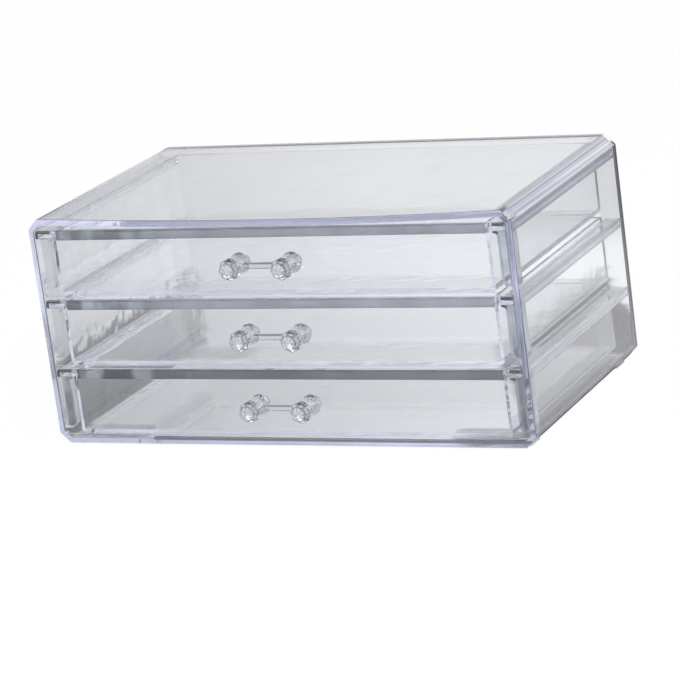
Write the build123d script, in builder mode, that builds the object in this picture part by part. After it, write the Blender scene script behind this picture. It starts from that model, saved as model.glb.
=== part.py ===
"""Clear three-drawer organizer: a moulded casing, its side rails and feet, and three drawers.

Millimetres. +X to the right, -Y towards the user, +Z up. The origin lies under the middle of the
whole object, handles included, on the surface that the feet stand on.
"""

import os
from math import cos, hypot, radians, sin, sqrt

from build123d import *

bond_line = 0.1  # thickness of the cement between bonded pieces

# Casing: an eight-sided sleeve that is closed at the back.
casing_width = 240.0
casing_depth = 135.0
casing_height = 108.5
side_wall = 2.7
back_wall = 2.7
top_wall = 3.1
bottom_wall = 2.8
edge_chamfer = 5.0  # on the four long edges
top_sag = 2.2  # dip of the top plate at the middle of its free front edge
back_sag = 0.05  # what is left of that dip at the back wall
edge_radius = 1.2  # rounding of the long edges, outside
inner_edge_radius = 0.8
lip_radius = 0.4  # rounding round the open front

# Feet: low pads under the four corners of the casing.
foot_width = 38.0
foot_depth = 14.0
foot_height = 0.8
foot_corner = 3.0
foot_inset = 4.0  # from the casing's front and back

# Rails: bonded channels in which the drawers' flanges slide. At the front end of each a leg turns
# down behind the wide end of the drawer front, which closes against it.
rail_width = 7.3
rail_web = 0.9  # against the casing's side
rail_rib = 1.0  # under and over the flange
rail_edge = 0.3  # chamfer along the ribs' free edges
rail_drop = 1.0  # from the front's top edge to the rail
rail_setback = 0.3  # from the back of a closed drawer front to the rail's end
leg_width = 5.2
leg_depth = 5.0
leg_lift = 2.6  # from the front's lower edge to the leg's end
leg_corner = 2.4  # at the leg's free end
leg_fillet = 1.5  # under the rail

# Drawer fronts.
drawer_names = ("bottom", "middle", "top")
front_thickness = 2.5
front_side_gap = 0.3  # to the casing's sides and slanted corners
front_top_gap = 0.3  # under the lowest point of the top plate
front_bottom_gap = 1.5  # over the casing's floor
front_spacing = 1.6  # between two fronts
front_corner = 2.0
front_edge = 0.4  # chamfer round the outer face

# Stiffening bar behind the top of each front.
bar_depth = 3.0
bar_height = 4.2
bar_drop = 1.0  # from the front's top edge to the bar
bar_side_gap = 0.3
bar_edge = 0.3  # chamfer along its long edges

# Trays: they hang in the rails by a flange along each side.
tray_wall = 1.5
tray_floor = 2.0
tray_edge = 0.3  # chamfer round the top
tray_rail_gap = 1.3  # beside the rail
tray_back_gap = 1.0  # to the casing's back wall
tray_lift = 0.2  # from the front's lower edge to the tray's underside
tray_corner = 2.0  # rounding of the long lower edges
tray_inner_corner = 1.0
flange_thickness = 1.8
flange_edge = 0.4  # chamfer along the free edges
flange_side_gap = 0.6  # to the rail's web
flange_clearance = 0.2  # over the rail's lower rib and under its upper one

# Handles: two cut knobs joined by a bar, in one piece with the pins that hold it.
knob_spacing = 25.7
knob_diameter = 9.7
knob_distance = 11.0  # from the front's face to the knob's centre
knob_sides = 8
knob_rings = (15, 44, 70)  # latitudes of the rings of corners on each half of a knob, in degrees
rosette_diameter = 10.0
rosette_sides = 12
rosette_rim = 0.8  # thickness at the edge
rosette_height = 4.0  # where the cone meets the neck
neck_diameter = 4.6
handle_bar_diameter = 3.0
handle_bar_distance = 4.8  # from the front's face to the bar's axis
handle_drop = 0.5  # below the middle of the front
pin_diameter = 3.0
pin_hole_clearance = 0.1
seat_gap = 0.05  # between the front and what is clamped on it

# Caps: pushed on the pins behind the front.
cap_diameter = 7.0
cap_thickness = 1.6
cap_fit = 0.03

# Places that follow from the sizes above.
knob_half_depth = knob_diameter / 2 * sin(radians(knob_rings[-1]))
handle_reach = knob_distance + knob_half_depth
front_y = (handle_reach - casing_depth) / 2
back_y = front_y + casing_depth
front_back_y = front_y + front_thickness
back_inner_y = back_y - back_wall
inner_width = casing_width - 2 * side_wall
base_z = foot_height + bond_line
floor_z = base_z + bottom_wall
top_z = base_z + casing_height
slant_reach = edge_chamfer + side_wall * (sqrt(2) - 1)  # of the slanted corners, up the inner sides
lower_slant_z = base_z + slant_reach
upper_slant_z = top_z - slant_reach
opening_top_z = top_z - top_wall - top_sag
front_width = inner_width - 2 * front_side_gap
lowest_front_z = floor_z + front_bottom_gap
front_room = opening_top_z - front_top_gap - lowest_front_z
drawer_count = len(drawer_names)
front_height = (front_room - (drawer_count - 1) * front_spacing) / drawer_count
drawer_pitch = front_height + front_spacing
tray_half_width = inner_width / 2 - bond_line - rail_width - tray_rail_gap
tray_inner_half_width = tray_half_width - tray_wall
tray_front_y = front_back_y + bond_line
tray_back_y = back_inner_y - tray_back_gap
rail_height = 2 * rail_rib + 2 * flange_clearance + flange_thickness
flange_half_width = inner_width / 2 - bond_line - rail_web - flange_side_gap
knob_places = (-knob_spacing / 2, knob_spacing / 2)

os.makedirs("parts", exist_ok=True)


def section(y):
    """The upright plane across the casing at y. Its normal points to the user, so depth is negative."""
    return Plane.XZ.offset(-y)


def before_front(distance):
    """The upright plane at a distance in front of the drawer fronts."""
    return section(front_y - distance)


def write(part, label):
    part.label = label
    export_step(part, f"parts/{label}.step")


def casing_outline(inset_side, inset_bottom, inset_top, inset_corner, rounding=0):
    """The casing's eight-sided section, across and up, drawn in by the insets."""
    width = casing_width - 2 * inset_side
    low = base_z + inset_bottom
    high = top_z - inset_top
    half = width / 2
    # A slanted side that moves in by an inset keeps this sum of distances from the two outer sides.
    slant = edge_chamfer + inset_corner * sqrt(2)
    top_cut = slant - inset_side - inset_top
    bottom_cut = slant - inset_side - inset_bottom
    with BuildSketch() as outline:
        with BuildLine():
            Polyline(
                (-half + bottom_cut, low),
                (half - bottom_cut, low),
                (half, low + bottom_cut),
                (half, high - top_cut),
                (half - top_cut, high),
                (-half + top_cut, high),
                (-half, high - top_cut),
                (-half, low + bottom_cut),
                close=True,
            )
        make_face()
        if rounding:
            fillet(outline.vertices(), radius=rounding)
    return outline.sketch


def sag_profile(y, half, level, sag):
    """What lies over the sagging plate at y: flat above, a shallow arc below."""
    high = level + 2 * top_wall
    with BuildSketch(section(y)) as profile:
        with BuildLine():
            ThreePointArc((-half, level), (0, level - sag), (half, level))
            Polyline((half, level), (half, high), (-half, high), (-half, level))
        make_face()
    return profile.sketch


def above_plate(half, level):
    """The space over a plate at this level: its front edge sags, its back edge is straight."""
    front = sag_profile(front_y, half, level, top_sag)
    back = sag_profile(back_y, half, level, back_sag)
    with BuildPart() as space:
        loft([front, back], ruled=True)
    return space.part


# Casing

# The plate's flat part ends where the rounding of its long edges begins.
flat_half = casing_width / 2 - edge_chamfer - edge_radius * (sqrt(2) - 1)
slant_half = casing_width / 2 - edge_chamfer - side_wall * sqrt(2) + top_wall
inner_flat_half = slant_half - inner_edge_radius * (sqrt(2) - 1)
above_top = above_plate(flat_half, top_z)
above_room = above_plate(inner_flat_half, top_z - top_wall)

with BuildPart() as room:
    with BuildSketch(section(front_y)):
        add(casing_outline(side_wall, bottom_wall, top_wall, side_wall, inner_edge_radius))
    extrude(amount=back_wall - casing_depth)
    add(above_room, mode=Mode.SUBTRACT)

with BuildPart() as casing_shell:
    with BuildSketch(section(front_y)):
        add(casing_outline(0, 0, 0, 0, edge_radius))
    extrude(amount=-casing_depth)
    add(above_top, mode=Mode.SUBTRACT)
    add(room.part, mode=Mode.SUBTRACT)
    rim = casing_shell.faces().sort_by(Axis.Y)[0]
    fillet(rim.edges(), radius=lip_radius)
write(casing_shell.part, "casing_shell")

with BuildPart() as feet:
    foot_x = casing_width / 2 - edge_chamfer - foot_width / 2
    foot_y = casing_depth / 2 - foot_inset - foot_depth / 2
    with BuildSketch():
        with Locations((0, (front_y + back_y) / 2)):
            with GridLocations(2 * foot_x, 2 * foot_y, 2, 2):
                RectangleRounded(foot_width, foot_depth, foot_corner)
    extrude(amount=foot_height)
write(feet.part, "feet")


def rail_top(high_z):
    """The height of a rail's top, for the drawer front that ends at this height."""
    return min(high_z - rail_drop, upper_slant_z - bond_line)


def make_rail(side, low_z, high_z, label):
    """The channel along a side wall for the drawer between these heights, with its leg in front."""
    wall_x = side * (inner_width / 2 - bond_line)
    free_x = wall_x - side * rail_width
    web_x = wall_x - side * rail_web
    leg_x = wall_x - side * leg_width
    leg_top_x = free_x + side * rail_edge
    rail_top_z = rail_top(high_z)
    rail_low_z = rail_top_z - rail_height
    rib_z = rail_low_z + rail_rib
    leg_low_z = max(low_z + leg_lift, lower_slant_z + bond_line)
    rail_y = front_back_y + rail_setback
    with BuildPart() as rail:
        with BuildSketch(section(rail_y)) as channel:
            with BuildLine():
                Polyline(
                    (wall_x, rail_low_z),
                    (free_x, rail_low_z),
                    (free_x, rib_z),
                    (web_x, rib_z),
                    (web_x, rail_top_z - rail_rib),
                    (free_x, rail_top_z - rail_rib),
                    (free_x, rail_top_z),
                    (wall_x, rail_top_z),
                    close=True,
                )
            make_face()
            free_corners = channel.vertices().sort_by(lambda corner: abs(corner.X))[:4]
            chamfer(free_corners, length=rail_edge)
        extrude(amount=rail_y + bond_line - back_inner_y)
        with BuildSketch(section(rail_y)):
            with BuildLine():
                FilletPolyline(
                    (leg_top_x, rail_low_z),
                    (leg_x, rail_low_z),
                    (leg_x, leg_low_z),
                    (wall_x, leg_low_z),
                    radius=(leg_fillet, leg_corner),
                )
                Polyline((wall_x, leg_low_z), (wall_x, rib_z), (leg_top_x, rib_z), (leg_top_x, rail_low_z))
            make_face()
        extrude(amount=-leg_depth)
    write(rail.part, label)


# Drawers


def make_front(name, low_z):
    """The drawer's front plate, cut to the casing's section and drilled for the handle's pins."""
    middle_z = low_z + front_height / 2
    with BuildPart() as front:
        with BuildSketch(before_front(0)):
            with Locations((0, middle_z)):
                RectangleRounded(front_width, front_height, front_corner)
        extrude(amount=-front_thickness)
        outer_face = front.faces().sort_by(Axis.Y)[0]
        chamfer(outer_face.edges(), length=front_edge)
        with BuildSketch(before_front(0)):
            gap = side_wall + front_side_gap
            add(casing_outline(gap, 0, 0, gap))
        extrude(amount=-front_thickness, mode=Mode.INTERSECT)
        with BuildSketch(before_front(0)):
            with Locations(*[(x, middle_z - handle_drop) for x in knob_places]):
                Circle(pin_diameter / 2 + pin_hole_clearance)
        extrude(amount=-front_thickness, mode=Mode.SUBTRACT)
    write(front.part, f"front_{name}")


def make_bar(name, high_z):
    """The bar behind the top of the front, between the tray's side walls."""
    with BuildPart() as bar:
        with BuildSketch(section(tray_front_y)):
            with Locations((0, high_z - bar_drop - bar_height / 2)):
                Rectangle(2 * (tray_inner_half_width - bar_side_gap), bar_height)
        extrude(amount=-bar_depth)
        chamfer(bar.edges().filter_by(Axis.X), length=bar_edge)
    write(bar.part, f"front_bar_{name}")


def tray_section(half_width, low_z, high_z, corner):
    """The tray's section behind the front: an upright rectangle with rounded lower corners."""
    with BuildSketch(section(tray_front_y)) as profile:
        with BuildLine():
            FilletPolyline(
                (-half_width, high_z),
                (-half_width, low_z),
                (half_width, low_z),
                (half_width, high_z),
                radius=corner,
            )
            Line((half_width, high_z), (-half_width, high_z))
        make_face()
    return profile.sketch


def make_tray(name, low_z, high_z):
    """The open tray behind the front, with a flange along each side that runs in the rail."""
    under_z = low_z + tray_lift
    flange_top_z = rail_top(high_z) - rail_rib - flange_clearance
    length = tray_back_y - tray_front_y
    with BuildPart() as tray:
        extrude(tray_section(tray_half_width, under_z, high_z, tray_corner), amount=-length)
        with BuildSketch(section(tray_front_y)) as flanges:
            flange_width = flange_half_width - tray_half_width
            with Locations((0, flange_top_z - flange_thickness / 2)):
                with GridLocations(2 * tray_half_width + flange_width, 0, 2, 1):
                    Rectangle(flange_width, flange_thickness)
            free_corners = flanges.vertices().sort_by(lambda corner: abs(corner.X))[-4:]
            chamfer(free_corners, length=flange_edge)
        extrude(amount=-length)
        floor_top_z = under_z + tray_floor
        inside = tray_section(tray_inner_half_width, floor_top_z, high_z, tray_inner_corner)
        extrude(inside, amount=tray_wall - length, mode=Mode.SUBTRACT)
        top_edges = tray.faces().sort_by(Axis.Z)[-1].edges().sort_by(Axis.Y)
        chamfer(top_edges[2:], length=tray_edge)
    write(tray.part, f"tray_{name}")


def make_knob(x, axis_z):
    """A cut knob: an eight-sided drum whose ends are cut back in rows of flat facets."""
    radius = knob_diameter / 2
    depths = [radius * sin(radians(latitude)) for latitude in knob_rings]
    radii = [radius * cos(radians(latitude)) for latitude in knob_rings]
    end_radius = radii[0]
    with BuildPart() as knob:
        with BuildSketch(before_front(knob_distance - knob_half_depth)):
            with Locations((x, axis_z)):
                RegularPolygon(radii[0], knob_sides, major_radius=False)
        extrude(amount=2 * knob_half_depth)
        for ring in range(len(knob_rings) - 1):
            # A row of facets leaves the last one at its ring and runs on to the drum's end.
            slope = (radii[ring] - radii[ring + 1]) / (depths[ring + 1] - depths[ring])
            run = knob_half_depth - depths[ring]
            next_radius = radii[ring] - slope * run
            cut = end_radius - next_radius
            down = hypot(end_radius - radii[ring], run)
            for end in (0, -1):
                face = knob.faces().sort_by(Axis.Y)[end]
                chamfer(face.edges(), length=cut, length2=down, reference=face)
            end_radius = next_radius
    return knob.part


def make_handle(name, axis_z):
    """The one-piece handle: rosettes, necks and cut knobs, the bar between them, and the pins."""
    ends = [(x, axis_z) for x in knob_places]
    with BuildPart() as handle:
        with BuildSketch(before_front(seat_gap)):
            with Locations(*ends):
                RegularPolygon(rosette_diameter / 2, rosette_sides)
        extrude(amount=rosette_height)
        cone_width = (rosette_diameter - neck_diameter) / 2
        cone_height = rosette_height - rosette_rim
        for face in handle.faces().sort_by(Axis.Y)[:2]:
            chamfer(face.edges(), length=cone_width, length2=cone_height, reference=face)
        with BuildSketch(before_front(rosette_height)):
            with Locations(*ends):
                RegularPolygon(neck_diameter / 2, knob_sides)
        extrude(amount=knob_distance - rosette_height)
        for x in knob_places:
            add(make_knob(x, axis_z))
        with BuildSketch(Plane.YZ.offset(knob_places[0])):
            with Locations((front_y - handle_bar_distance, axis_z)):
                Circle(handle_bar_diameter / 2)
        extrude(amount=knob_spacing)
        with BuildSketch(before_front(seat_gap)):
            with Locations(*ends):
                Circle(pin_diameter / 2)
        extrude(amount=-(front_thickness + 2 * seat_gap + cap_thickness))
    write(handle.part, f"handle_{name}")


def make_caps(name, axis_z):
    """The two caps that hold the handle's pins behind the front."""
    with BuildPart() as caps:
        with BuildSketch(section(front_back_y + seat_gap)):
            with Locations(*[(x, axis_z) for x in knob_places]):
                RegularPolygon(cap_diameter / 2, rosette_sides)
                Circle(pin_diameter / 2 + cap_fit, mode=Mode.SUBTRACT)
        extrude(amount=-cap_thickness)
    write(caps.part, f"handle_caps_{name}")


for level, name in enumerate(drawer_names):
    low_z = lowest_front_z + level * drawer_pitch
    high_z = low_z + front_height
    axis_z = low_z + front_height / 2 - handle_drop
    make_rail(-1, low_z, high_z, f"rail_left_{name}")
    make_rail(1, low_z, high_z, f"rail_right_{name}")
    make_tray(name, low_z, high_z)
    make_front(name, low_z)
    make_bar(name, high_z)
    make_handle(name, axis_z)
    make_caps(name, axis_z)
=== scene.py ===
"""The looks of the clear three-drawer organizer: plastics, floor, lights and camera.

Everything is in metres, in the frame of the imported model: +X right, -Y towards the user, +Z up.
Colours are linear light.
"""

import math

import bpy
from mathutils import Matrix, Vector


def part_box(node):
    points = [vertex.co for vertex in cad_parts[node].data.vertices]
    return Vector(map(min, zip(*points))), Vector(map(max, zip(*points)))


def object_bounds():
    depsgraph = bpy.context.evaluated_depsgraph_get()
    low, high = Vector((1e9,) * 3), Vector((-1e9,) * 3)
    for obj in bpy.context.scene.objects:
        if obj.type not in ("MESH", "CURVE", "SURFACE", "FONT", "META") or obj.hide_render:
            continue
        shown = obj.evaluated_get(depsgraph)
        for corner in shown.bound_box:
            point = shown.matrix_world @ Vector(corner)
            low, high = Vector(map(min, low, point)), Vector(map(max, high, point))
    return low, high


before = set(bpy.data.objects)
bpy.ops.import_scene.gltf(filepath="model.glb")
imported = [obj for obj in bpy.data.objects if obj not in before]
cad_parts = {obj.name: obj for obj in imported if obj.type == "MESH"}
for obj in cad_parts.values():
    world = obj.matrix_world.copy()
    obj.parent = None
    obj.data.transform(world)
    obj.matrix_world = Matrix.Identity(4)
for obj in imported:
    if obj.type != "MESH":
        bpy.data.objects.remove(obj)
cad_low, cad_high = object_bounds()

# Camera, as fitted to the casing's corners in the photograph.
CAMERA_PLACE = Vector((0.6594, -1.3361, 0.4473))
CAMERA_AZIMUTH = math.radians(26.201)
CAMERA_ELEVATION = math.radians(15.566)
CAMERA_ROLL = math.radians(-7.642)
CAMERA_LENS = 175.40
CAMERA_SENSOR = 36.0

PLASTIC_IOR = 1.49
HANDLE_IOR = 1.56
LILAC = (0.60, 0.62, 0.81, 1.0)  # what the plastic lets through along a long way inside it
TRAY_TINT = (0.69, 0.70, 0.80, 1.0)
RAIL_TINT = (0.55, 0.63, 0.69, 1.0)
# Colour of a painted glow inside the plastic, standing in for light that its haze scatters.
PAINTED_GLOW_COLOUR = (0.88, 0.90, 1.0, 1.0)
SMEAR_SHARES = (0.985, 0.985, 0.99, 1)  # of the tint that a smear lets through
FACES_APART = (0.37, 0.37, 0.37)
TRAY_SIDE = 0.096  # from here outwards the waves of a tray's side walls set in
RIGHT_SHARE = 0.2  # of the left side's waves in the right side

# Painted lines of shade and highlight, standing in for the light and dark that the edges refract.
SIDE_PAINTED_LINES = (  # distance from the casing's top or bottom, width, colour
    (0.0056, 0.0005, (0.42, 0.43, 0.52, 1)),
    (0.0072, 0.0009, (0.84, 0.85, 0.96, 1)),
    (0.0092, 0.0004, (0.56, 0.57, 0.64, 1)),
)
RAIL_PAINTED_LINES = (  # height from the rail's top, width, colour
    (-0.0039, 0.0005, (0.04, 0.04, 0.07, 1)),
    (-0.0027, 0.0004, (0.60, 0.61, 0.72, 1)),
    (-0.0015, 0.0005, (0.30, 0.31, 0.48, 1)),
    (-0.0003, 0.0005, (0.07, 0.07, 0.10, 1)),
)
# Painted shade and painted highlight of the streaks on the cut edges.
CUT_EDGE_PAINTED_SHADE = (0.44, 0.45, 0.60, 1)  # the streaks of the cut edges
CUT_EDGE_PAINTED_HIGHLIGHT = (1.0, 1.0, 1.0, 1)
# Painted shade of the front rim, darker low down at the right, and its painted dark low line.
RIM_PAINTED_SHADE = (0.90, 0.91, 0.88, 1)
RIGHT_RIM_PAINTED_SHADE_LOW = (0.88, 0.90, 0.95, 1)
RIGHT_RIM_PAINTED_SHADE_HIGH = (0.95, 0.96, 1.0, 1)
LOW_LINE_PAINTED_SHADE = (0.16, 0.17, 0.22, 1)
# Painted shade beside the trays, painted dark lines at the left top edge and right back corner, painted
# highlight on the back top edge.
BEHIND_TRAYS_PAINTED_SHADE = (0.72, 0.74, 0.74, 1)
LEFT_LINE_PAINTED_SHADE = (0.12, 0.13, 0.22, 1)
BACK_TOP_PAINTED_HIGHLIGHT = (0.84, 0.85, 0.95, 1)
BACK_CORNER_PAINTED_SHADE = (0.10, 0.10, 0.15, 1)
# Painted shade of the right rails' legs, darkest in the lowest drawer.
LEG_PAINTED_SHADE_DARK = (0.60, 0.64, 0.70, 1)
LEG_PAINTED_SHADE_PALE = (0.78, 0.82, 0.88, 1)
LOW_LEG_PAINTED_SHADE = (0.36, 0.39, 0.44, 1)
# Painted shade lines of the knobs.
KNOB_PAINTED_SHADE = (0.03, 0.03, 0.06, 1)
# Painted shade of the strip behind the fronts, and its painted reflection patches.
BAR_PAINTED_SHADE_DARK = (0.48, 0.49, 0.56, 1)
BAR_PAINTED_SHADE_PALE = (0.70, 0.71, 0.82, 1)
BAR_LEFT_END_PAINTED_SHADE = (0.08, 0.11, 0.13, 1)
BAR_PAINTED_REFLECTIONS = (0.72, 0.80, 0.90, 1)
PAD_DARK = (0.96, 0.96, 0.98, 1)
PAD_PALE = (1.0, 1.0, 1.0, 1)

# The painted shadows on the floor are those of walls that stand at this distance from the middle,
# between these depths, and whose top edges' painted shadows lie this far to the left and to the back.
WALL_X = 0.120
WALL_FRONT = cad_high.y - 0.135
WALL_BACK = cad_high.y
SHADOW_LEFT = 0.078
SHADOW_BACK = 0.141

FLOOR_SIZE = 12.0
FLOOR_HEIGHT = -0.0005  # just under the feet
KEY_PLACE = (0.9, -1.6, 1.25)
KEY_AIM = (0, 0, 0.05)
KEY_SIZE = 0.6
KEY_POWER = 40
CLEAR_BOUNCES = 96  # enough for the way through all three drawers and along a wall
GLOSSY_BOUNCES = 24
TRANSPARENT_BOUNCES = 48

# Places on the model that the materials follow.
SHELL_LOW, SHELL_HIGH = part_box("casing_shell")
RAIL_LOW, RAIL_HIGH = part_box("rail_right_bottom")
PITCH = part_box("rail_right_middle")[0].z - RAIL_LOW.z
RAIL_HALF = 0.002  # from the rail's top to about the middle of its height
LEG_DEPTH = 0.005
HANDLE_LOW, HANDLE_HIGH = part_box("handle_bottom")
HANDLE_Z = (HANDLE_LOW.z + HANDLE_HIGH.z) / 2
KNOB_X = 0.01285
KNOB_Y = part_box("front_bottom")[0].y - 0.011
KNOB_RING_DEPTHS = (0.00126, 0.00337)
KNOB_CORNERS = 8


class Nodes:
    """A node tree under construction. A value is a number, a colour or another node's output."""

    def __init__(self, tree):
        self.tree = tree
        tree.nodes.clear()

    def add(self, kind, inputs=None, **settings):
        node = self.tree.nodes.new(kind)
        for name, value in settings.items():
            setattr(node, name, value)
        for key, value in (inputs or {}).items():
            if isinstance(value, bpy.types.NodeSocket):
                self.tree.links.new(value, node.inputs[key])
            else:
                node.inputs[key].default_value = value
        return node

    def math(self, operation, a, b=0.0, clamp=False):
        node = self.add("ShaderNodeMath", {0: a, 1: b}, operation=operation, use_clamp=clamp)
        return node.outputs[0]

    def vector(self, operation, a, b):
        return self.add("ShaderNodeVectorMath", {0: a, 1: b}, operation=operation).outputs[0]

    def remap(self, value, low, high, to_low, to_high, smooth=False):
        style = "SMOOTHSTEP" if smooth else "LINEAR"
        inputs = {0: value, 1: low, 2: high, 3: to_low, 4: to_high}
        return self.add("ShaderNodeMapRange", inputs, interpolation_type=style).outputs[0]

    def rise(self, value, low, high, smooth=False):
        """0 up to low, 1 from high."""
        return self.remap(value, low, high, 0.0, 1.0, smooth)

    def fall(self, value, low, high, smooth=False):
        """1 up to low, 0 from high."""
        return self.remap(value, low, high, 1.0, 0.0, smooth)

    def times(self, product, *factors):
        for factor in factors:
            product = self.math("MULTIPLY", product, factor)
        return product

    def minus(self, a, b):
        return self.math("SUBTRACT", a, b)

    def split(self, vector):
        return self.add("ShaderNodeSeparateXYZ", {0: vector}).outputs

    def place(self):
        return self.add("ShaderNodeTexCoord").outputs["Object"]

    def facing(self):
        return self.add("ShaderNodeNewGeometry").outputs["True Normal"]

    def line(self, value, middle, width):
        """1 where the value is within half the width of the middle, softly 0 outside it."""
        away = self.math("ABSOLUTE", self.minus(value, middle))
        return self.fall(away, width * 0.35, width * 0.65, smooth=True)

    def noise(self, vector, scale, detail=2.0):
        inputs = {"Vector": vector, "Scale": scale, "Detail": detail}
        return self.add("ShaderNodeTexNoise", inputs).outputs["Fac"]

    def blend(self, factor, a, b):
        node = self.add("ShaderNodeMix", data_type="RGBA")
        for key, value in ((0, factor), (6, a), (7, b)):
            if isinstance(value, bpy.types.NodeSocket):
                self.tree.links.new(value, node.inputs[key])
            else:
                node.inputs[key].default_value = value
        return node.outputs[2]

    def principled(self, colour, roughness, ior, transmission, normal):
        inputs = {
            "Base Color": colour,
            "Roughness": roughness,
            "IOR": ior,
            "Transmission Weight": transmission,
            "Normal": normal,
        }
        return self.add("ShaderNodeBsdfPrincipled", inputs).outputs[0]


def new_material(name):
    material = bpy.data.materials.new(name)
    material.use_nodes = True
    return material, Nodes(material.node_tree)


def face_place(t):
    """The place on the object, moved apart for faces that look different ways, so that the two
    sides of a wall don't have the same waves."""
    apart = t.vector("MULTIPLY", t.facing(), FACES_APART)
    return t.vector("ADD", t.place(), apart)


def moulded_surface(t, wave_size, wave_height, haze, side_waves=0.0):
    """Normals and roughness of a moulding: slow waves, smears and hair-fine scratches. side_waves
    is the height of the stronger waves in the thin wall at the left; the right one has less."""
    place = face_place(t)
    waves = t.noise(place, 1 / wave_size)
    if side_waves:
        x = t.split(t.place())[0]
        stronger = side_waves / wave_height
        at_left = t.remap(x, -TRAY_SIDE, -TRAY_SIDE - 0.01, 1.0, stronger)
        at_right = t.remap(x, TRAY_SIDE, TRAY_SIDE + 0.01, 1.0, RIGHT_SHARE * stronger)
        waves = t.times(waves, t.times(at_left, at_right))
    stretched = t.vector("MULTIPLY", place, (1.0, 9.0, 14.0))
    scratches = t.noise(stretched, 420.0, 1.0)
    bump = t.add("ShaderNodeBump", {"Height": waves, "Strength": 1.0, "Distance": wave_height})
    fine = t.add(
        "ShaderNodeBump",
        {"Height": scratches, "Strength": 0.2, "Distance": 0.000002, "Normal": bump.outputs[0]},
    )
    smears = t.noise(place, 55.0, 4.0)
    roughness = t.remap(smears, 0.35, 0.75, haze * 0.3, haze)
    return fine.outputs[0], roughness, smears


def clear_plastic(
    name,
    tint=(0.98, 0.983, 0.99, 1),
    wave_size=0.03,
    wave_height=0.0001,
    haze=0.05,
    density=9.0,
    ior=PLASTIC_IOR,
    absorb_colour=LILAC,
    side_waves=0.0,
    marks=None,
    glow=1.2,
):
    """Polished clear plastic: refraction, and a tint that grows with the way through it.
    marks adds the piece's painted lines of shade and highlight: it takes and gives the colour, and gives how
    clear the surface is. glow is the strength of a painted glow inside the plastic, per metre of the way,
    that stands in for light scattered by its haze."""
    material, t = new_material(name)
    normal, roughness, smears = moulded_surface(t, wave_size, wave_height, haze, side_waves)
    darker = tuple(level * share for level, share in zip(tint, SMEAR_SHARES))
    colour = t.blend(t.rise(smears, 0.3, 0.8), tint, darker)
    clear = 1.0
    if marks:
        colour, clear = marks(t, colour)
    shader = t.principled(colour, roughness, ior, clear, normal)
    absorb = t.add("ShaderNodeVolumeAbsorption", {"Color": absorb_colour, "Density": density})
    # Painted glow: the volume gives off light, standing in for light that the haze scatters.
    painted_haze_glow = t.add("ShaderNodeEmission", {"Color": PAINTED_GLOW_COLOUR, "Strength": glow})
    inside = t.add("ShaderNodeAddShader", {0: absorb.outputs[0], 1: painted_haze_glow.outputs[0]})
    t.add("ShaderNodeOutputMaterial", {"Surface": shader, "Volume": inside.outputs[0]})
    return material


def from_pitch(t, z, level):
    """A height above or below this level of the nearest drawer."""
    from_level = t.math("ADD", t.minus(z, level), PITCH / 2)
    return t.minus(t.math("FLOORED_MODULO", from_level, PITCH), PITCH / 2)


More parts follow.
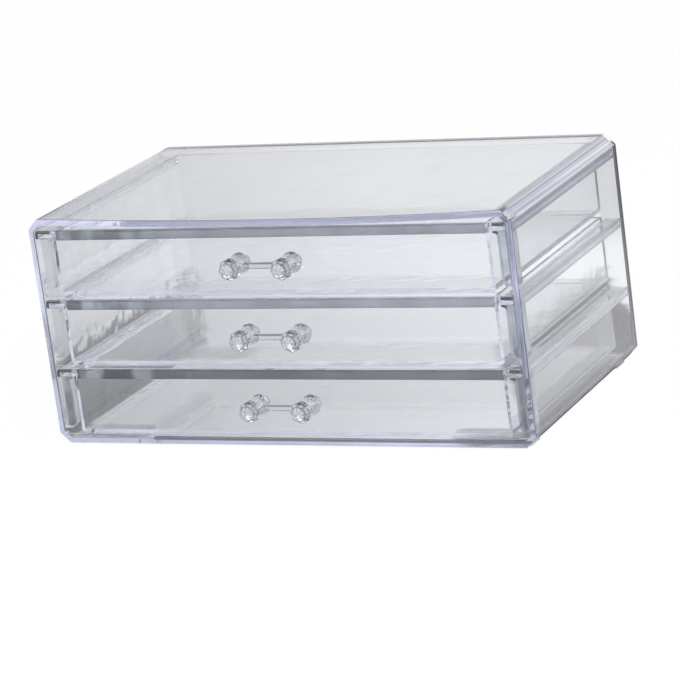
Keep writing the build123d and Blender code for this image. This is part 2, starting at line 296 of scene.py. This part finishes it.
def casing_marks(t, colour):
    """Painted highlight and shade streaks on the right cut edges, painted shade on the front rim and on the
    back wall beside the trays, and painted lines of shade and highlight along the casing's sides, rim and
    corners."""
    x, y, z = t.split(t.place())
    facing = t.split(t.facing())
    from_front = t.minus(y, SHELL_LOW.y)
    from_back = t.minus(SHELL_HIGH.y, y)
    from_right = t.minus(SHELL_HIGH.x, x)
    from_bottom = t.minus(z, SHELL_LOW.z)
    from_top = t.minus(SHELL_HIGH.z, z)

    # Cut edges, faces that look both sideways and up or down: painted highlight and shade streaks.
    slant = t.math("ABSOLUTE", t.times(facing[0], facing[2]))
    cut_edge = t.times(t.rise(slant, 0.15, 0.42), t.rise(from_front, 0.004, 0.010), t.rise(x, -0.01, 0.01))
    across = t.minus(z, t.math("ABSOLUTE", x))
    along = t.add("ShaderNodeCombineXYZ", {0: across, 1: t.times(y, 0.005)}).outputs[0]
    streaks = t.rise(t.noise(along, 620.0, 3.0), 0.40, 0.60)
    colour = t.blend(cut_edge, colour, t.blend(streaks, CUT_EDGE_PAINTED_SHADE, CUT_EDGE_PAINTED_HIGHLIGHT))

    # Front rim in painted shade, darker low down at the right, and a painted dark line of shade in its low
    # part, to the right of the left foot.
    rim = t.fall(from_front, 0.0006, 0.0012)
    colour = t.blend(rim, colour, RIM_PAINTED_SHADE)
    right_rim = t.times(rim, t.fall(from_right, 0.0035, 0.0040))
    colour = t.blend(right_rim, colour, t.blend(t.rise(z, 0.04, 0.08), RIGHT_RIM_PAINTED_SHADE_LOW, RIGHT_RIM_PAINTED_SHADE_HIGH))
    near_front = t.fall(from_front, 0.0030, 0.0035)
    low_line = t.times(near_front, t.line(from_bottom, 0.0028, 0.0018), t.rise(x, -0.072, -0.070))
    colour = t.blend(low_line, colour, LOW_LINE_PAINTED_SHADE)

    # Sides: painted lines of shade and highlight along their upper and lower edges.
    on_side = t.rise(t.math("ABSOLUTE", facing[0]), 0.90, 0.95)
    from_edge = t.math("MINIMUM", from_bottom, from_top)
    for distance, width, line_colour in SIDE_PAINTED_LINES:
        colour = t.blend(t.times(on_side, t.line(from_edge, distance, width)), colour, line_colour)

    # Back wall to the right of the trays in painted shade, a painted dark line at the left upper edge,
    # a painted highlight along the back upper edge and a painted dark line at the right back corner.
    in_back_wall = t.fall(from_back, 0.0026, 0.0030)
    beside_trays = t.times(t.rise(x, 0.106, 0.108), t.fall(x, 0.1165, 0.1170))
    colour = t.blend(t.times(in_back_wall, beside_trays), colour, BEHIND_TRAYS_PAINTED_SHADE)
    at_top = t.fall(from_top, 0.0012, 0.0016)
    from_left = t.minus(x, SHELL_LOW.x)
    left_line = t.times(t.line(from_left, 0.0048, 0.0011), at_top, t.rise(from_front, 0.006, 0.010))
    colour = t.blend(left_line, colour, LEFT_LINE_PAINTED_SHADE)
    back_top = t.times(in_back_wall, t.fall(from_top, 0.0028, 0.0032))
    colour = t.blend(back_top, colour, BACK_TOP_PAINTED_HIGHLIGHT)
    back_corner = t.times(t.fall(from_back, 0.0018, 0.0022), t.fall(from_right, 0.0012, 0.0016))
    colour = t.blend(back_corner, colour, BACK_CORNER_PAINTED_SHADE)

    # The painted cut edges, low line and back top edge are less clear, so that their painted colour shows.
    clear = t.minus(1.0, t.times(cut_edge, 0.55))
    clear = t.minus(clear, t.times(low_line, 0.6))
    clear = t.math("SUBTRACT", clear, t.times(back_top, 0.5), clamp=True)
    return colour, clear


def rail_marks(t, colour):
    """Painted lines of shade and highlight along the rails, and painted shade on the leg at the right rails'
    front end, darker in the two lower drawers.
    """
    place = t.place()
    x, y, z = t.split(place)
    from_rail_top = t.minus(from_pitch(t, z, RAIL_HIGH.z - RAIL_HALF), RAIL_HALF)
    outward = t.times(t.split(t.facing())[0], t.math("SIGN", x))
    uneven = t.remap(t.noise(t.vector("MULTIPLY", place, (0.3, 1.0, 0.3)), 45.0), 0.35, 0.6, 0.6, 1.0)
    behind_leg = t.rise(t.minus(y, RAIL_LOW.y), LEG_DEPTH, LEG_DEPTH + 0.001)
    painted_lines = t.times(uneven, t.rise(outward, 0.8, 0.9), behind_leg)
    # Painted lines of shade and highlight along the rails' outer faces.
    for height, width, line_colour in RAIL_PAINTED_LINES:
        colour = t.blend(t.times(t.line(from_rail_top, height, width), painted_lines), colour, line_colour)
    # Painted shade on the right rails' legs, darker in the lower drawers.
    right_leg = t.times(t.minus(1.0, behind_leg), t.rise(x, 0.0, 0.01))
    painted_grey = t.blend(t.rise(t.noise(place, 160.0), 0.4, 0.6), LEG_PAINTED_SHADE_DARK, LEG_PAINTED_SHADE_PALE)
    low_leg_shade = t.math("MAXIMUM", t.remap(z, 0.036, 0.040, 0.95, 0.0), t.remap(z, 0.068, 0.071, 0.35, 0.0))
    return t.blend(right_leg, colour, t.blend(low_leg_shade, painted_grey, LOW_LEG_PAINTED_SHADE)), 1.0


def knob_marks(t, colour):
    """Painted shade: dark lines along the corners of the cut knobs, their dark crowns and the bar's edges.
    """
    place = t.place()
    x, y, z = t.split(place)
    beside = t.minus(t.math("ABSOLUTE", x), KNOB_X)
    above = from_pitch(t, z, HANDLE_Z)
    turn = t.math("DIVIDE", t.math("ARCTAN2", above, beside), 2 * math.pi / KNOB_CORNERS)
    corner = t.line(t.math("FRACT", t.math("ADD", turn, KNOB_CORNERS + 0.5)), 0.5, 0.10)
    from_ring = t.math("ABSOLUTE", t.minus(y, KNOB_Y))
    for depth in KNOB_RING_DEPTHS:
        corner = t.math("MAXIMUM", corner, t.line(from_ring, depth, 0.0004))
    squares = t.math("ADD", t.math("POWER", beside, 2.0), t.math("POWER", above, 2.0))
    radius = t.math("SQRT", squares)
    on_knob = t.times(t.rise(radius, 0.0016, 0.0019), t.fall(radius, 0.0058, 0.006))
    front_half = t.fall(y, KNOB_Y, KNOB_Y + 0.001)
    # Painted shade, stronger on the knob's front half.
    corner = t.times(corner, on_knob, t.remap(front_half, 0.0, 1.0, 0.25, 0.85))
    broken = t.remap(t.noise(place, 1100.0), 0.42, 0.55, 0.25, 1.0)
    crown = t.times(on_knob, broken, t.rise(above, 0.0036, 0.0042))
    on_bar = t.fall(beside, -0.0045, -0.004)
    bar_edge = t.times(t.line(t.math("ABSOLUTE", above), 0.0011, 0.0006), on_bar)
    painted_lines = t.math("MAXIMUM", t.math("MAXIMUM", corner, crown), t.times(bar_edge, 0.8))
    return t.blend(painted_lines, colour, KNOB_PAINTED_SHADE), 1.0


def painted_shade_bar():
    """The strip behind each front's top, dark with painted shade, with painted bluish and pale reflection
    patches and painted shade at its left end.
    """
    material, t = new_material("painted_shade_bar")
    place = t.place()
    x, _, z = t.split(place)
    streaks = t.noise(t.vector("MULTIPLY", place, (1.0, 0.2, 0.6)), 38.0, 3.0)
    painted_grey = t.blend(t.rise(streaks, 0.3, 0.7), BAR_PAINTED_SHADE_DARK, BAR_PAINTED_SHADE_PALE)
    # Painted shade: much darker in the bottom drawer, a little lighter in the middle one.
    shade_by_drawer = t.times(t.remap(z, 0.045, 0.055, 0.45, 1.0), t.remap(z, 0.075, 0.085, 1.15, 1.0))
    shade_by_drawer = t.add("ShaderNodeCombineXYZ", {0: shade_by_drawer, 1: shade_by_drawer, 2: shade_by_drawer}).outputs[0]
    painted_grey = t.vector("MULTIPLY", painted_grey, shade_by_drawer)
    # Painted reflection patches, bluish and pale, and painted shade at the left end.
    patches = t.rise(t.noise(t.vector("MULTIPLY", place, (1.0, 0.0, 0.5)), 75.0, 2.0), 0.5, 0.62)
    left_end = t.rise(x, -0.035, -0.085, smooth=True)
    painted_grey = t.blend(t.times(left_end, 0.55), painted_grey, BAR_LEFT_END_PAINTED_SHADE)
    colour = t.blend(t.times(patches, left_end), painted_grey, BAR_PAINTED_REFLECTIONS)
    normal, roughness, _ = moulded_surface(t, 0.02, 0.00003, 0.25)
    shader = t.principled(colour, roughness, PLASTIC_IOR, 0.35, normal)
    t.add("ShaderNodeOutputMaterial", {"Surface": shader})
    return material


def frosted_pad():
    """The feet's finely grained, milky plastic."""
    material, t = new_material("frosted_pad")
    place = t.place()
    grain = t.noise(place, 2600.0, 3.0)
    clouds = t.noise(place, 140.0, 3.0)
    bump = t.add("ShaderNodeBump", {"Height": grain, "Strength": 0.5, "Distance": 0.00008})
    colour = t.blend(t.rise(clouds, 0.3, 0.7), PAD_DARK, PAD_PALE)
    roughness = t.remap(grain, 0.3, 0.7, 0.4, 0.6)
    shader = t.principled(colour, roughness, PLASTIC_IOR, 0.2, bump.outputs[0])
    t.add("ShaderNodeOutputMaterial", {"Surface": shader})
    return material


def dress(prefix, material):
    for name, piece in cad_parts.items():
        if name.startswith(prefix):
            if not piece.material_slots:
                piece.data.materials.append(material)
            for slot in piece.material_slots:
                slot.material = material


# A later line dresses its pieces anew: the bars after the fronts, and the caps after the handles.
dress(
    "casing_shell",
    clear_plastic("shell_plastic", wave_size=0.045, wave_height=0.00012, marks=casing_marks),
)
dress("feet", frosted_pad())
dress(
    "rail_",
    clear_plastic("rail_plastic", wave_size=0.012, density=40.0, absorb_colour=RAIL_TINT, marks=rail_marks),
)
dress(
    "tray_",
    clear_plastic("tray_plastic", wave_size=0.020, absorb_colour=TRAY_TINT, side_waves=0.0012, glow=1.6),
)
dress("front_", clear_plastic("front_plastic", wave_size=0.06, haze=0.03))
dress("front_bar_", painted_shade_bar())
dress(
    "handle_",
    clear_plastic(
        "handle_plastic",
        tint=(0.985, 0.987, 0.995, 1),
        wave_size=0.008,
        wave_height=0.00001,
        haze=0.0,
        density=5.0,
        ior=HANDLE_IOR,
        marks=knob_marks,
    ),
)
dress(
    "handle_caps_",
    clear_plastic(
        "cap_plastic",
        tint=(0.93, 0.935, 0.96, 1),
        wave_size=0.006,
        wave_height=0.00001,
        haze=0.08,
        density=14.0,
    ),
)


# Stage: a wide pale floor, which the camera sees as white with the object's shadow. Through the
# plastic it shows painted light and painted shadow: a glowing pale floor, brighter towards the back,
# darker to the left and right, and darker still in the painted shadows of the casing's sides.
def wall_shadow(t, x, y, wall_x, wobble):
    """How much a side wall's painted shadow covers a place on the floor."""
    run = t.math("DIVIDE", t.minus(wall_x, x), SHADOW_LEFT)
    depth = t.math("ADD", t.minus(y, t.times(run, SHADOW_BACK)), wobble)
    run = t.math("ADD", run, t.times(wobble, 4.0))
    right_of_it = t.rise(run, -0.04, 0.04, smooth=True)
    left_of_it = t.fall(run, 0.9, 1.1, smooth=True)
    front_of_it = t.rise(depth, WALL_FRONT - 0.008, WALL_FRONT + 0.008, smooth=True)
    back_of_it = t.fall(depth, WALL_BACK + 0.014, WALL_BACK + 0.026, smooth=True)
    return t.times(right_of_it, left_of_it, front_of_it, back_of_it)


bpy.ops.mesh.primitive_plane_add(size=FLOOR_SIZE, location=(0, 0, FLOOR_HEIGHT))
floor = bpy.context.object
floor.name = "floor"
material, t = new_material("floor")
place = t.place()
x, y, _ = t.split(place)
wobble = t.remap(t.noise(place, 55.0, 3.0), 0.0, 1.0, -0.020, 0.020)
left_shade = t.times(wall_shadow(t, x, y, -WALL_X, wobble), 0.88)
right_shade = wall_shadow(t, x, y, WALL_X, wobble)
shade = t.math("MAXIMUM", left_shade, right_shade)
# Painted light and shade: darker to the left and to the right, brighter towards the back.
slant = t.math("ADD", x, t.times(t.minus(y, 0.2), 0.6))
painted_shade_left = t.times(t.remap(slant, -0.26, -0.03, 0.56, 1.04), t.remap(slant, -0.25, -0.20, 0.84, 1.0))
painted_light_back = t.times(t.remap(y, 0.0, 0.23, 1.10, 1.46), t.remap(y, 0.27, 0.345, 1.0, 0.79))
painted_shade_right = t.remap(x, 0.13, 0.24, 1.0, 0.35)
painted_table_light = t.times(painted_shade_left, painted_light_back, painted_shade_right, t.remap(shade, 0.0, 1.0, 1.0, 0.02))
# What the plastic shows of the floor is a glow of this painted light and shadow.
painted_table_glow = t.add("ShaderNodeEmission", {"Color": (1.0, 1.0, 1.0, 1), "Strength": painted_table_light})
diffuse = t.add("ShaderNodeBsdfDiffuse", {"Color": (0.85, 0.85, 0.86, 1)})
# Inside the right wall's painted shadow, more of the painted glow and less of the lit diffuse floor.
lit_share = t.remap(right_shade, 0.0, 1.0, 0.75, 0.95)
lit = t.add("ShaderNodeMixShader", {0: lit_share, 1: diffuse.outputs[0], 2: painted_table_glow.outputs[0]})
white = t.add("ShaderNodeEmission", {"Strength": 1.02})
direct = t.add("ShaderNodeMixShader", {0: 0.94, 1: diffuse.outputs[0], 2: white.outputs[0]})
camera_ray = t.add("ShaderNodeLightPath").outputs["Is Camera Ray"]
mixed = t.add("ShaderNodeMixShader", {0: camera_ray, 1: lit.outputs[0], 2: direct.outputs[0]})
t.add("ShaderNodeOutputMaterial", {"Surface": mixed.outputs[0]})
floor.data.materials.append(material)

# World: a pale room, brightest low down at the back, dimmer overhead and dark behind the camera.
world = bpy.data.worlds.new("studio")
bpy.context.scene.world = world
world.use_nodes = True
t = Nodes(world.node_tree)
x, y, z = t.split(t.add("ShaderNodeTexCoord").outputs["Generated"])
height = t.remap(z, 0.72, 0.88, 0.85, 0.08, smooth=True)
side = t.remap(x, -0.9, 0.2, 0.65, 1.0, smooth=True)
ahead = t.remap(y, -0.9, -0.4, 0.45, 1.0, smooth=True)
camera_ray = t.add("ShaderNodeLightPath").outputs["Is Camera Ray"]
strength = t.math("MAXIMUM", t.times(height, side, ahead), t.times(camera_ray, 1.03))
background = t.add("ShaderNodeBackground", {"Color": (0.98, 0.99, 1.0, 1), "Strength": strength})
t.add("ShaderNodeOutputWorld", {"Surface": background.outputs[0]})


def area_light(name, place, aim, size, power):
    data = bpy.data.lights.new(name, "AREA")
    data.energy = power
    data.size = size
    lamp = bpy.data.objects.new(name, data)
    lamp.location = place
    lamp.rotation_euler = (Vector(aim) - Vector(place)).to_track_quat("-Z", "Y").to_euler()
    bpy.context.scene.collection.objects.link(lamp)


area_light("key", KEY_PLACE, KEY_AIM, KEY_SIZE, KEY_POWER)

# Camera
a, e = CAMERA_AZIMUTH, CAMERA_ELEVATION
back = Vector((math.sin(a) * math.cos(e), -math.cos(a) * math.cos(e), math.sin(e)))
level_right = Vector((math.cos(a), math.sin(a), 0))
level_up = back.cross(level_right)
right = math.cos(CAMERA_ROLL) * level_right + math.sin(CAMERA_ROLL) * level_up
up = back.cross(right)
camera_data = bpy.data.cameras.new("camera")
camera_data.lens = CAMERA_LENS
camera_data.sensor_width = CAMERA_SENSOR
camera = bpy.data.objects.new("camera", camera_data)
turn = Matrix((right, up, back)).transposed().to_4x4()
camera.matrix_world = Matrix.Translation(CAMERA_PLACE) @ turn
bpy.context.scene.collection.objects.link(camera)
bpy.context.scene.camera = camera

scene = bpy.context.scene
scene.view_settings.view_transform = "Standard"
scene.cycles.max_bounces = CLEAR_BOUNCES
scene.cycles.transmission_bounces = CLEAR_BOUNCES
scene.cycles.glossy_bounces = GLOSSY_BOUNCES
scene.cycles.transparent_max_bounces = TRANSPARENT_BOUNCES
